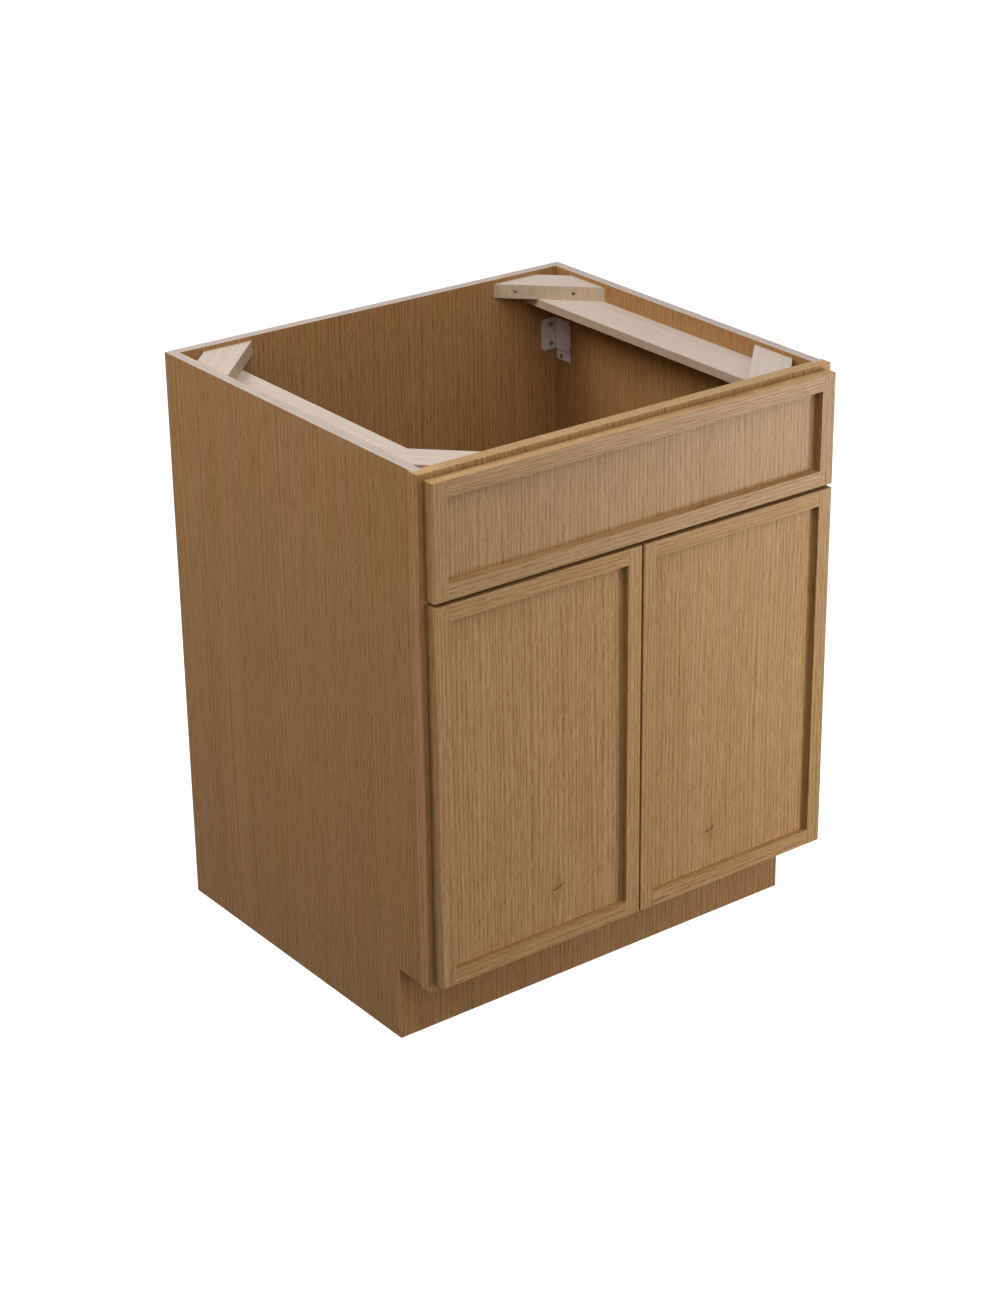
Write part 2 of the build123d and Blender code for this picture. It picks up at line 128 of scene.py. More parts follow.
# %% Node trees in short words
class Finish:
    """A material's tree of nodes. Each call adds one step and gives back its output socket."""

    def __init__(self, name):
        self.material = bpy.data.materials.new(name)
        self.material.use_nodes = True
        self.tree = self.material.node_tree
        self.tree.nodes.clear()
        self.output = self.tree.nodes.new("ShaderNodeOutputMaterial")

    def step(self, kind, inputs=None, result=0, **settings):
        """Add a node, set its own settings, fill its inputs with values or sockets, return one output."""
        made = self.tree.nodes.new("ShaderNode" + kind)
        for key, value in settings.items():
            setattr(made, key, value)
        for key, value in (inputs or {}).items():
            if isinstance(value, bpy.types.NodeSocket):
                self.tree.links.new(value, made.inputs[key])
            else:
                made.inputs[key].default_value = value
        return made.outputs[result]

    def math(self, operation, a, b=0.0, c=0.0):
        """One step of arithmetic on plain numbers."""
        return self.step("Math", {0: a, 1: b, 2: c}, operation=operation)

    def vector(self, operation, a, b=(0, 0, 0)):
        """One step of arithmetic on three numbers at a time."""
        return self.step("VectorMath", {0: a, 1: b}, operation=operation)

    def place(self):
        """Where a point is on the object, in metres."""
        return self.step("TexCoord", result="Object")

    def noise(self, at, scales, detail=2.0, roughness=0.5, result="Fac"):
        """Smooth random values, with so many hills and dips to the metre along each axis."""
        inputs = {"Scale": 1.0, "Detail": detail, "Roughness": roughness}
        inputs["Vector"] = self.vector("MULTIPLY", at, scales)
        return self.step("TexNoise", inputs, result)

    def span(self, value, low, high, to_low=0.0, to_high=1.0, smooth=True):
        """Carry the range low to high over to another range, level beyond its ends."""
        kind = "SMOOTHSTEP" if smooth else "LINEAR"
        inputs = {"Value": value, "From Min": low, "From Max": high, "To Min": to_low, "To Max": to_high}
        return self.step("MapRange", inputs, interpolation_type=kind)

    def mix(self, share, a, b, how="MIX"):
        """Blend colour a towards colour b."""
        inputs = {0: share, 6: a, 7: b}
        return self.step("Mix", inputs, 2, data_type="RGBA", blend_type=how)

    def facing(self, axis):
        """1 on the faces that look along that axis of the object, 0 on the others."""
        normal = self.step("SeparateXYZ", {0: self.step("TexCoord", result="Normal")})
        return self.span(self.math("ABSOLUTE", normal.node.outputs[axis]), 0.4, 0.6)

    def finish(self, shader):
        """Send a shader to the surface and hand back the material."""
        self.tree.links.new(shader, self.output.inputs["Surface"])
        return self.material

    def surface(self, colour, rough, height, depth, strength, others=None):
        """The usual ending: colour, roughness, and a bump whose hills are depth metres high."""
        bump = self.step("Bump", {"Height": height, "Distance": depth, "Strength": strength})
        inputs = {"Base Color": colour, "Roughness": rough, "Normal": bump, **(others or {})}
        return self.finish(self.step("BsdfPrincipled", inputs))


def rgb(red, green, blue):
    """A colour read off as 0 to 255 screen values, turned into the linear light that shaders work in."""
    screen = np.array([red, green, blue]) / 255
    linear = np.where(screen <= 0.04045, screen / 12.92, ((screen + 0.055) / 1.055) ** 2.4)
    return (*linear.tolist(), 1.0)


print("middle grey of the screen as light:", round(rgb(128, 128, 128)[0], 3))

# %% [markdown]
# ## White behind, white below
# The photograph's background is plain white. More light would also wash out the wood, so the whiteness
# is given only to rays that come from the camera or from a shiny or clear surface. All other rays meet a
# weaker fill and a darker floor, which keeps the toe space and the lower side dark.

# %% World and floor
WORLD_FILL = (0.127, 0.108, 0.098)  # a little warm, like light that has met other wood
FLOOR_GLOW = 0.96  # whiteness that the floor has of its own
FLOOR_PAINT = 0.38  # and the part of it that takes the shadow
FLOOR_BOUNCE = 0.03  # how much light the floor gives back to the wood
FLOOR_HALF = 30.0  # half its width, wide enough to fill the picture


def seen_directly(tree):
    """1 for a ray from the camera, a mirror or glass, and 0 for light that is scattered."""
    path = tree.nodes.new("ShaderNodeLightPath")
    total = path.outputs["Is Camera Ray"]
    for name in ("Is Glossy Ray", "Is Transmission Ray"):
        higher = tree.nodes.new("ShaderNodeMath")
        higher.operation = "MAXIMUM"
        tree.links.new(total, higher.inputs[0])
        tree.links.new(path.outputs[name], higher.inputs[1])
        total = higher.outputs[0]
    return total


def light_world():
    """An even fill that looks white."""
    world = bpy.data.worlds.new("studio")
    world.use_nodes = True
    tree = world.node_tree
    fill = tree.nodes["Background"]
    fill.inputs["Color"].default_value = (*WORLD_FILL, 1.0)
    white = tree.nodes.new("ShaderNodeBackground")
    white.inputs["Color"].default_value = (1, 1, 1, 1)
    blend = tree.nodes.new("ShaderNodeMixShader")
    tree.links.new(seen_directly(tree), blend.inputs[0])
    tree.links.new(fill.outputs[0], blend.inputs[1])
    tree.links.new(white.outputs[0], blend.inputs[2])
    tree.links.new(blend.outputs[0], tree.nodes["World Output"].inputs["Surface"])
    bpy.context.scene.world = world


def floor_finish():
    """A faint glow and some paint that takes the shadow, or plain darker paint for scattered light."""
    floor = Finish("studio_floor")
    bounce = floor.step("BsdfDiffuse", {"Color": (FLOOR_BOUNCE, FLOOR_BOUNCE, FLOOR_BOUNCE, 1)})
    paint = floor.step("BsdfDiffuse", {"Color": (FLOOR_PAINT, FLOOR_PAINT, FLOOR_PAINT, 1)})
    glow = floor.step("Emission", {"Color": (1, 1, 1, 1), "Strength": FLOOR_GLOW})
    shown = floor.step("AddShader", {0: paint, 1: glow})
    return floor.finish(floor.step("MixShader", {0: seen_directly(floor.tree), 1: bounce, 2: shown}))


def make_floor():
    """One large square on the ground."""
    mesh = bpy.data.meshes.new("studio_floor")
    half = FLOOR_HALF
    corners = [(-half, -half, 0), (half, -half, 0), (half, half, 0), (-half, half, 0)]
    mesh.from_pydata(corners, [], [(0, 1, 2, 3)])
    mesh.materials.append(floor_finish())
    floor = bpy.data.objects.new("studio_floor", mesh)
    bpy.context.scene.collection.objects.link(floor)


light_world()
make_floor()
bpy.context.scene.view_settings.view_transform = "Standard"
print("world fill", WORLD_FILL, "floor bounce", FLOOR_BOUNCE)

# %% [markdown]
# ## Oak
# A picture of oak would do for one board, but it repeats on the next, and it blurs close by. Here the wood
# is worked out at every point instead. Oak that is sawn towards the heart of the trunk shows close, nearly
# straight lines: each year's open early wood is a shade darker than the dense late wood beside it. The
# lines are about seven millimetres apart and run far along the board, with a slight waver. Slow noise bends
# the coordinates before anything is drawn, which gives the lines their waver. Every board gets its own cut
# from the pattern, so no line runs over a joint.

# %% Grain coordinates
# the axes that run across the broad face, through the board and along the grain
ALONG = {"rail": (2, 1, 0), "upright": (0, 1, 2), "side": (1, 0, 2), "floor": (1, 2, 0)}


def board_coordinates(finish, grain):
    """The place on the board as (across, through, along)."""
    split = finish.step("SeparateXYZ", {0: finish.place()})
    axes = [split.node.outputs[i] for i in ALONG[grain]]
    return finish.step("CombineXYZ", {0: axes[0], 1: axes[1], 2: axes[2]})


HALF = (0.5, 0.5, 0.5)  # taken off a noise colour, it leaves a push to either side
LEAN = (9 * MM, 9 * MM, 0)
LEAN_SCALES = (9, 9, 2.2)  # hills of the slow lean for each metre
RIPPLE = (2.2 * MM, 6.5 * MM)  # size of the ripple, and where it is strong
RIPPLE_SCALES = (34, 34, 24)
STRONG_SCALES = (13, 13, 8)  # places where the ripple is strong


def waver(finish, at):
    """Bend the coordinates: a slow lean, a small ripple, and patches where the ripple is strong."""
    lean = finish.noise(at, LEAN_SCALES, 1, 0.5, "Color")
    lean = finish.vector("MULTIPLY", finish.vector("SUBTRACT", lean, HALF), LEAN)
    ripple = finish.noise(at, RIPPLE_SCALES, 4, 0.66, "Color")
    ripple = finish.vector("SUBTRACT", ripple, HALF)
    strong = finish.span(finish.noise(at, STRONG_SCALES, 0), 0.58, 0.74, *RIPPLE)
    ripple = finish.step("VectorMath", {0: ripple, "Scale": strong}, operation="SCALE")
    ripple = finish.vector("MULTIPLY", ripple, (1, 1, 0))
    return finish.vector("ADD", finish.vector("ADD", at, lean), ripple)


print("grain runs in", len(ALONG), "ways, the lean is up to", round(0.5 * LEAN[0] / MM, 1), "mm")

# %% [markdown]
# ## Knots
# Each door has a small knot low on its panel. The grain opens around it like water round a stone, a short
# dark hook marks the knot itself, and the strokes beside it are darker than elsewhere. The bending is a
# push away from the knot that fades with distance. The hook is a thin arc drawn by the distance to a
# curve, and a fine tremble of the coordinates makes its line ragged.

# %% Knots
KNOT_OPENING = (11 * MM, 22 * MM)  # how far the grain opens, across and along
KNOT_SHARE = 0.62  # how much of the way each point is moved
HOOK_REACH = (11 * MM, 11 * MM)
HOOK_LIFT = 32.0  # how steeply the arc rises, for each metre
HOOK_WIDTH = 2.9 * MM
HOOK_SIDE = 6 * MM  # the arc's lowest point, to the left of the knot
HOOK_TREMBLE = 6 * MM
TREMBLE_SCALES = (260, 260, 190)
STROKE_REACH = (13 * MM, 20 * MM)  # the darker strokes beside the knot
STROKE_SCALES = (620, 620, 70)
KNOT_DARK = 0.9  # share of the pore's colour in the hook


def knot_mask(finish, at, knot, reach):
    """How near a point is to the knot: the bell curve of its distance, which is 1 in the middle."""
    offset = finish.vector("SUBTRACT", at, (knot[0], 0, knot[1]))
    scaled = finish.vector("MULTIPLY", offset, (1 / reach[0], 0, 1 / reach[1]))
    squared = finish.step("VectorMath", {0: scaled, 1: scaled}, "Value", operation="DOT_PRODUCT")
    return offset, finish.math("EXPONENT", finish.math("MULTIPLY", squared, -1.0))


def open_grain(finish, at, knot):
    """Spread the lines near the knot: move each point towards it by a share that fades with distance."""
    offset, near = knot_mask(finish, at, knot, KNOT_OPENING)
    share = finish.math("MULTIPLY", near, -KNOT_SHARE)
    pull = finish.step("VectorMath", {0: offset, "Scale": share}, operation="SCALE")
    return finish.vector("ADD", at, finish.vector("MULTIPLY", pull, (1, 0, 0)))


def knot_hook(finish, at, knot):
    """A dark arc: points whose height is close to a rising curve, the square of the way across."""
    tremble = finish.vector("SUBTRACT", finish.noise(at, TREMBLE_SCALES, 2, 0.6, "Color"), HALF)
    tremble = finish.vector("MULTIPLY", tremble, (HOOK_TREMBLE, 0, HOOK_TREMBLE))
    offset, near = knot_mask(finish, finish.vector("ADD", at, tremble), knot, HOOK_REACH)
    split = finish.step("SeparateXYZ", {0: offset})
    across, along = split, split.node.outputs[2]
    moved = finish.math("ADD", across, HOOK_SIDE)
    curve = finish.math("MULTIPLY", finish.math("MULTIPLY", moved, moved), HOOK_LIFT)
    gap = finish.math("ABSOLUTE", finish.math("SUBTRACT", along, curve))
    drawn = finish.span(gap, 0, HOOK_WIDTH, 1.0, 0.0)
    line = finish.math("MULTIPLY", drawn, finish.span(near, 0.2, 0.6))
    strokes = finish.noise(at, STROKE_SCALES, 1)
    _, around = knot_mask(finish, at, knot, STROKE_REACH)
    strokes = finish.math("MULTIPLY", finish.span(strokes, 0.48, 0.62, 0.0, 0.5), around)
    return finish.math("MAXIMUM", line, strokes)


print("the grain opens about", round(KNOT_OPENING[0] / MM, 1), "mm to each side of a knot")

# %% [markdown]
# ## Worn edges
# Handling and sanding thin the stain on a board's edges, so they are a little paler. A board is a
# box, and the distance to its nearest edge is the middle one of the three distances to its faces, because
# the smallest is the face that the point lies on. A bevel read by the shader would also find the edges,
# but this needs no extra geometry, is quick, and bakes well.

# %% Edge distance
WEAR_WIDTH = 1.4 * MM
WEAR = 0.18  # share of the pale tone on a board's edge


def edge_distance(finish, box):
    """Distance to a box's nearest edge: the middle value of the distances to its three pairs of faces."""
    middle = [(low + high) / 2 for low, high in zip(*box)]
    half = [(high - low) / 2 for low, high in zip(*box)]
    offset = finish.vector("ABSOLUTE", finish.vector("SUBTRACT", finish.place(), middle))
    depth = finish.step("SeparateXYZ", {0: finish.vector("SUBTRACT", half, offset)})
    a, b, c = depth, depth.node.outputs[1], depth.node.outputs[2]
    low, high = finish.math("MINIMUM", a, b), finish.math("MAXIMUM", a, b)
    return finish.math("MAXIMUM", low, finish.math("MINIMUM", high, c))


print("a board's edge is paler over", round(WEAR_WIDTH / MM, 1), "mm")

# %% [markdown]
# ## Growth lines
# The years are a wave across the board, because sheets of growth cut a board in parallel planes. An even
# wave would look printed, so slow noise makes some years wider than others, and finer noise makes a line
# strong in one place and faint in the next. The wave is sharpened at its two turning points: one is the
# dark early wood, and the other the pale late wood.

# %% Growth lines
YEAR = 7.2 * MM  # from one growth line to the next
YEAR_TILT = 0.6  # lean of the growth planes through the board's thickness
YEAR_DRIFT = 4.5  # years that the spacing gains or loses by chance
OAK_SCALES = {  # hills to the metre across, through and along the board
    "drift": (26, 26, 0.9),
    "strength": (140, 140, 26),
    "beads": (420, 420, 150),
    "warmth": (45, 45, 1.3),
    "pores": (1300, 1300, 48),
    "flecks": (330, 330, 34),
}


def growth_lines(oak, bent):
    """Shares of early and of late wood: a wave across the board, sharpened at its two turning points."""
    drift = oak.noise(bent, OAK_SCALES["drift"], 1)
    rise = {0: bent, 1: (1 / YEAR, YEAR_TILT / YEAR, 0)}
    planes = oak.step("VectorMath", rise, "Value", operation="DOT_PRODUCT")
    years = oak.math("MULTIPLY_ADD", drift, YEAR_DRIFT, planes)
    wave = oak.math("SINE", oak.math("MULTIPLY", years, 2 * np.pi))
    strength = oak.noise(bent, OAK_SCALES["strength"], 3, 0.6)
    strength = oak.span(strength, 0.36, 0.62, 0.25, 1.1)
    beads = oak.noise(bent, OAK_SCALES["beads"], 1)
    strength = oak.math("MULTIPLY", strength, oak.span(beads, 0.36, 0.62, 0.4, 1.2))
    early = oak.math("MULTIPLY", oak.span(wave, 0.5, 1.0), strength)
    late = oak.math("MULTIPLY", oak.span(wave, -0.6, -1.0), strength)
    return early, late


print("a year is", round(YEAR / MM, 1), "mm wide")

# %% [markdown]
# ## The colours of oak
# Between the lines the wood is streaked as well, from hair-fine streaks to bands wider than a thumb. Each
# width is a noise of its own, stretched along the grain and added to the tone. Broad rosy and golden tints,
# brown flecks, and short dark pores that lie mostly in the early wood come last.

# %% Colours of oak
OAK_PALE = rgb(182, 148, 106)  # dense late wood
OAK_DEEP = rgb(134, 98, 57)  # open early wood
OAK_ROSY = (1.01, 0.985, 1.03, 1)  # tints of the broad bands
OAK_GOLDEN = (1.0, 0.99, 0.94, 1)
OAK_PORE = rgb(92, 58, 30)
OAK_FLECK = rgb(140, 92, 46)
OAK_STREAKS = (  # width of a streak, how often it changes along the grain for each metre, and its share
    (0.8 * MM, 80.0, 0.66),
    (1.6 * MM, 30.0, 0.80),
    (3.6 * MM, 10.0, 0.40),
    (12 * MM, 2.0, 0.26),
    (34 * MM, 1.5, 0.26),
)
MIDDLE_TONE = 0.52  # share of the pale tone where nothing else is drawn
EARLY_SHARE, LATE_SHARE = 0.42, 0.22  # how far the growth lines darken and lighten it


def oak_colour(oak, bent, stroke):
    """Lay growth lines and streaks over a middle tone, then add the broad tints, flecks and pores."""
    early, late = growth_lines(oak, bent)
    level = oak.math("MULTIPLY_ADD", early, -EARLY_SHARE * stroke, MIDDLE_TONE)
    level = oak.math("MULTIPLY_ADD", late, LATE_SHARE * stroke, level)
    for width, changes, share in OAK_STREAKS:
        layer = oak.noise(bent, (1 / width, 1 / width, changes), 1, 0.5)
        part = oak.math("MULTIPLY_ADD", layer, share * stroke, -0.5 * share * stroke)
        level = oak.math("ADD", part, level)
    colour = oak.mix(level, OAK_DEEP, OAK_PALE)
    warmth = oak.noise(bent, OAK_SCALES["warmth"], 1)
    tint = oak.mix(oak.span(warmth, 0.36, 0.64), OAK_ROSY, OAK_GOLDEN)
    colour = oak.mix(1.0, colour, tint, "MULTIPLY")
    pores = oak.noise(bent, OAK_SCALES["pores"], 0)
    pores = oak.span(pores, 0.58, 0.72, 0.0, 0.45 * stroke)
    pores = oak.math("MULTIPLY", pores, oak.math("MULTIPLY_ADD", early, 0.7, 0.3))
    flecks = oak.noise(bent, OAK_SCALES["flecks"], 0)
    colour = oak.mix(oak.span(flecks, 0.68, 0.78, 0.0, 0.4 * stroke), colour, OAK_FLECK)
    return oak.mix(pores, colour, OAK_PORE), pores


print("streaks:", [round(width / MM, 1) for width, _, _ in OAK_STREAKS], "mm wide")

# %% [markdown]
# ## Cut edges of the plywood
# The case is plywood with an oak face on each side. Where it is cut, the pale plies show as fine stripes
# between two thin lines of oak, and a darker line of glue runs along the middle. Real layers would be many
# thin boards that nobody sees. The stripes follow the depth into the sheet instead, so they stay in place
# on the top, the back and the bottom alike.

# %% Plywood edge
PLY_PALE = rgb(177, 166, 160)
PLY_GREY = rgb(138, 127, 119)
PLY_FACE = rgb(166, 124, 80)
PLIES = 11.0  # stripes through the sheet
PLY_CLOUDS = 24.0  # changes along a stripe for each metre


def ply_colour(finish, box, axis):
    """Stripes by depth: oak at both faces, pale plies inside, a grey glue line in the middle."""
    split = finish.step("SeparateXYZ", {0: finish.place()})
    thickness = box[1][axis] - box[0][axis]
    depth = finish.span(split.node.outputs[axis], box[0][axis], box[1][axis], smooth=False)
    scales = [PLY_CLOUDS] * 3
    scales[axis] = PLIES / thickness
    plies = finish.noise(finish.place(), scales, 1, 0.6)
    colour = finish.mix(finish.span(plies, 0.35, 0.7, 0.0, 0.45), PLY_PALE, PLY_GREY)
    from_middle = finish.math("ABSOLUTE", finish.math("SUBTRACT", depth, 0.5))
    glue = finish.span(from_middle, 0.02, 0.06, 0.55, 0.0)
    colour = finish.mix(glue, colour, PLY_GREY)
    return finish.mix(finish.span(from_middle, 0.44, 0.47), colour, PLY_FACE)


print("stripes in a cut edge:", PLIES)

# %% [markdown]
# ## Oak on one board
# Now the parts come together. The board's own coordinates are opened at a knot, moved to the board's cut
# and bent, and the colour is drawn on them. Wear, the board's tone, the cut plies and the painted light and
# shade on the narrow edges follow in that order. A satin varnish lies over it all, a little duller in the
# pores, which are also pressed in as a fine bump.

# %% Oak finish
# tints of painted light and shade on a board's side edges, and on its upper and lower ones: warmer sides,
# lighter tops on the fronts and frame, and darker tops on the doors
FRONT_EDGES = ((1.1, 1.02, 0.94), (1.06, 1.09, 1.03))
FRAME_EDGES = ((0.99, 0.89, 0.79), (1.02, 1.06, 1.02))
DOOR_EDGES = ((1.0, 0.94, 0.86), (0.84, 0.82, 0.78))
SATIN, DULL = 0.42, 0.62  # roughness between the pores and in them
CUT_ROUGHER = 0.2  # added on a cut edge
PORE_DEPTH = 0.15 * MM


def painted_edge_shading(oak, colour, edges):
    """Painted light and shade on the narrow edges of a front board. edges has the tints of its X and Z
    edges.
    """
    for axis, tint in ((0, edges[0]), (2, edges[1])):
        shading_tint = oak.mix(oak.facing(axis), (1, 1, 1, 1), (*tint, 1))
        colour = oak.mix(1.0, colour, shading_tint, "MULTIPLY")
    return colour


def oak_finish(name, box, grain, cut, tone, stroke, gloss, knot=None, ply=None, edges=None):
    """Satin oak for the board in that box.

    The tone tints it, and stroke deepens its lines. A knot is a place across and along the board. ply is
    the axis through a plywood sheet, and edges has the tints of painted light and shade on a front board's
    narrow edges.
    """
    oak = Finish(name)
    at = board_coordinates(oak, grain)
    spread = open_grain(oak, at, knot) if knot else at
    bent = waver(oak, oak.vector("ADD", spread, cut))
    colour, pores = oak_colour(oak, bent, stroke)
    if knot:
        colour = oak.mix(oak.math("MULTIPLY", knot_hook(oak, at, knot), KNOT_DARK), colour, OAK_PORE)
    wear = oak.span(edge_distance(oak, box), 0.2 * MM, WEAR_WIDTH, WEAR, 0.0)
    colour = oak.mix(wear, colour, OAK_PALE)
    colour = oak.mix(1.0, colour, (*tone, 1), "MULTIPLY")
    rough = oak.span(pores, 0, 0.5, SATIN, DULL, smooth=False)
    if ply is not None:
        cut_face = oak.math("SUBTRACT", 1.0, oak.facing(ply))
        colour = oak.mix(cut_face, colour, ply_colour(oak, box, ply))
        rough = oak.math("MULTIPLY_ADD", cut_face, CUT_ROUGHER, rough)
    # painted light and shade on the narrow edges, by the way each face looks
    if edges is not None:
        colour = painted_edge_shading(oak, colour, edges)
    height = oak.math("SUBTRACT", 1.0, pores)
    return oak.surface(colour, rough, height, PORE_DEPTH, 0.5, {"IOR": 1.5, "Specular IOR Level": gloss})


print("roughness of oak:", SATIN, "in its pores:", DULL, "on a cut edge:", round(SATIN + CUT_ROUGHER, 2))

# %% [markdown]
# ## Dress the boards
# Rails and the floor run left to right, and everything else upright, as a joiner would lay them. Only the
# frame's top rail has short upright strokes, as the photograph shows in the strip above the false front.
# Both doors are faced from one bundle of veneer, so each has its knot at the same place, mirrored. The
# case is redder than the fronts, and the false front's satin is fresher, with a stronger sheen. Boards at
# the right are tinted bluer as painted sheen, and the frame's left stile paler as painted light.

# %% Give every oak board its own cut
KNOTS = {"left_door_panel": (-141 * MM, 206 * MM), "right_door_panel": (141 * MM, 205.5 * MM)}
PLY_AXIS = {"left_side_panel": 0, "right_side_panel": 0, "back_panel": 1, "floor_panel": 2}
CASE_TONE = (1.01, 0.93, 0.86)
GLOSS, CASE_GLOSS, FALSE_FRONT_GLOSS = 0.11, 0.03, 0.18
BOARD_TONES = {  # tints of single boards: some greyer, darker or paler, and the marked ones painted light and sheen
    "toe_board": (0.86, 0.775, 0.72),
    "back_panel": (1.04, 0.965, 0.895),
    # paler: painted light on its shaded strip beside the doors
    "frame_left_stile": (1.06, 1.02, 1.0),
    # greyer and bluer: painted sheen
    "right_door_right_stile": (0.96, 0.98, 1.0),
    "frame_top_rail": (0.93, 0.93, 0.88),
    "right_side_panel": (0.91, 0.82, 0.74),
    # bluer on the panel, top rail and right stile: painted sheen towards the right
    "false_front_panel": (0.917, 0.932, 0.965),
    "false_front_top_rail": (0.91, 0.925, 0.965),
    "false_front_bottom_rail": (0.915, 0.915, 0.92),
    "false_front_left_stile": (0.93, 0.92, 0.89),
    "false_front_right_stile": (0.895, 0.905, 0.95),
}


def dress(name, material):
    """Put a material on a node of the cabinet."""
    mesh = NODES[name].data
    mesh.materials.clear()
    mesh.materials.append(material)


def is_oak(name):
    """Fronts, face frame and case boards, but not the small parts that ride on them."""
    small = ("bumpers", "spacers", "hinge", "bracket", "brace", "side_rail")
    return not any(word in name for word in small)


def grain_of(name):
    """Which way a board's grain runs, by the word in its name."""
    if name == "frame_top_rail":
        return "upright"
    return next((word for word in ("rail", "side", "floor") if word in name), "upright")


def board_facts(name):
    """What sets one board's finish apart: its tone, its lines, its gloss, and the look of its edges."""
    if name in PLY_AXIS:
        tone = BOARD_TONES.get(name, CASE_TONE)
        return {"tone": tone, "stroke": 0.85, "gloss": CASE_GLOSS, "ply": PLY_AXIS[name]}
    facts = {"tone": BOARD_TONES.get(name, (1, 1, 1)), "knot": KNOTS.get(name)}
    facts["stroke"] = 1.15 if name == "left_door_panel" else 1.0
    facts["gloss"] = FALSE_FRONT_GLOSS if "false" in name else GLOSS
    facts["edges"] = FRONT_EDGES
    for word, tints in (("door", DOOR_EDGES), ("frame", FRAME_EDGES)):
        if word in name:
            facts["edges"] = tints
    return facts


oak_boards = sorted(name for name in NODES if is_oak(name))
for number, name in enumerate(oak_boards):
    cut = (0.37 * number + 0.2, 1.13 * number, 0.71 * number)
    finish = oak_finish(f"oak_{name}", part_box(name), grain_of(name), cut, **board_facts(name))
    dress(name, finish)
print("oak boards:", len(oak_boards), "with a cut ply edge:", len(PLY_AXIS), "with a knot:", len(KNOTS))

# %% [markdown]
# ## Pale braces and rails
# The hidden braces and the two side rails are a pale hardwood without stain. Its grain is faint: long soft
# streaks on the flat faces and close upright ones where a board is cut. A brace lies across its corner, so
# its grain runs on the diagonal. The streaks are the oak's trick again with other scales: noise that is
# stretched along one direction.

# %% Pale wood
PALE_SCALES = {  # hills to the metre along X, Y and Z, once the board is turned to lie along X
    "ripple": (8, 30, 30),
    "streaks": (5, 210, 210),
    "upright": (150, 150, 14),
    "flecks": (330, 330, 60),
    "cloud": (30, 30, 9),
}
PALE_RIPPLE = (0, 9 * MM, 9 * MM)
PALE_LIGHT = rgb(181, 168, 156)
PALE_TAN = rgb(170, 154, 140)
PALE_FLECK = rgb(206, 190, 170)
SAWN = (rgb(190, 167, 141), rgb(166, 143, 118))  # the braces' cut faces
# the rails' side faces are darker than their tops: painted shade
PLANED_SHADED = (rgb(168, 144, 120), rgb(160, 136, 113))  # the rails' smooth edges


def pale_finish(name, turn, cut, edge):
    """Pale wood with its grain turned by so many degrees from the X axis. edge colours its sides."""
    pale = Finish(name)
    turned = {"Vector": pale.place(), "Location": cut, "Rotation": (0, 0, np.radians(-turn))}
    at = pale.step("Mapping", turned, vector_type="POINT")
    ripple = pale.noise(at, PALE_SCALES["ripple"], 2, 0.5, "Color")
    ripple = pale.vector("MULTIPLY", pale.vector("SUBTRACT", ripple, HALF), PALE_RIPPLE)
    bent = pale.vector("ADD", at, ripple)
    streaks = pale.noise(bent, PALE_SCALES["streaks"], 3, 0.6)
    flat = pale.mix(pale.span(streaks, 0.25, 0.8), PALE_LIGHT, PALE_TAN)
    upright = pale.noise(at, PALE_SCALES["upright"], 3, 0.6)
    flecks = pale.noise(at, PALE_SCALES["flecks"], 1)
    cloud = pale.noise(at, PALE_SCALES["cloud"], 1)
    sawn = pale.mix(pale.span(upright, 0.3, 0.75, 0.0, 0.6), *edge)
    sawn = pale.mix(pale.span(cloud, 0.4, 0.7, 0.0, 0.15), sawn, PALE_LIGHT)
    if edge is SAWN:
        sawn = pale.mix(pale.span(flecks, 0.58, 0.7, 0.0, 0.45), sawn, PALE_FLECK)
    colour = pale.mix(pale.facing(2), sawn, flat)
    return pale.surface(colour, DULL, streaks, 0.03 * MM, 0.3, {"IOR": 1.45})


PALE_TURN = {
    "brace_back_left": 45,
    "brace_front_right": 45,
    "brace_back_right": -45,
    "brace_front_left": -45,
    "left_side_rail": 90,
    "right_side_rail": 90,
}
for number, (name, turn) in enumerate(PALE_TURN.items()):
    edge = PLANED_SHADED if "rail" in name else SAWN
    dress(name, pale_finish(f"pale_{name}", turn, (0.41 * number, 0.23 * number, 0), edge))
print("pale boards:", len(PALE_TURN))

# %% [markdown]
# ## Powder coat
# The corner brackets are bent sheet under a grey powder coat, which is never quite smooth: fine noise in
# the bump gives it the look of orange peel. Painted shade darkens their folds, and a dark painted ring
# round the tab's hole stands for the shade in it. A fold is where two distances, to the two sheets that
# meet there, are both small.

# %% Bracket paint
FITTING_SCALES = {  # hills to the metre along X, Y and Z
    "peel": (900, 900, 900),
    "dust": (60, 60, 60),
    "brushed": (2600, 2600, 120),
    "marks": (140, 140, 140),
    "worn": (700, 700, 700),
    "fine": (4200, 4200, 4200),
    "cloudy": (420, 420, 420),
}
BRACKET_SHEET = 2 * MM
TAB_HEIGHT = 15.5 * MM  # the fold above the tab, from the tab's end
TAB_HOLE = (16.6 * MM, 6 * MM)  # from the back, and up from the tab's end
# painted shade along the folds
FOLD_SHADE = (0.5 * MM, 2.2 * MM)  # full up to here, and gone there
HOLE_SHADE_RING = (3.6 * MM, 4.4 * MM)  # the same for the painted dark ring round the hole, from its middle
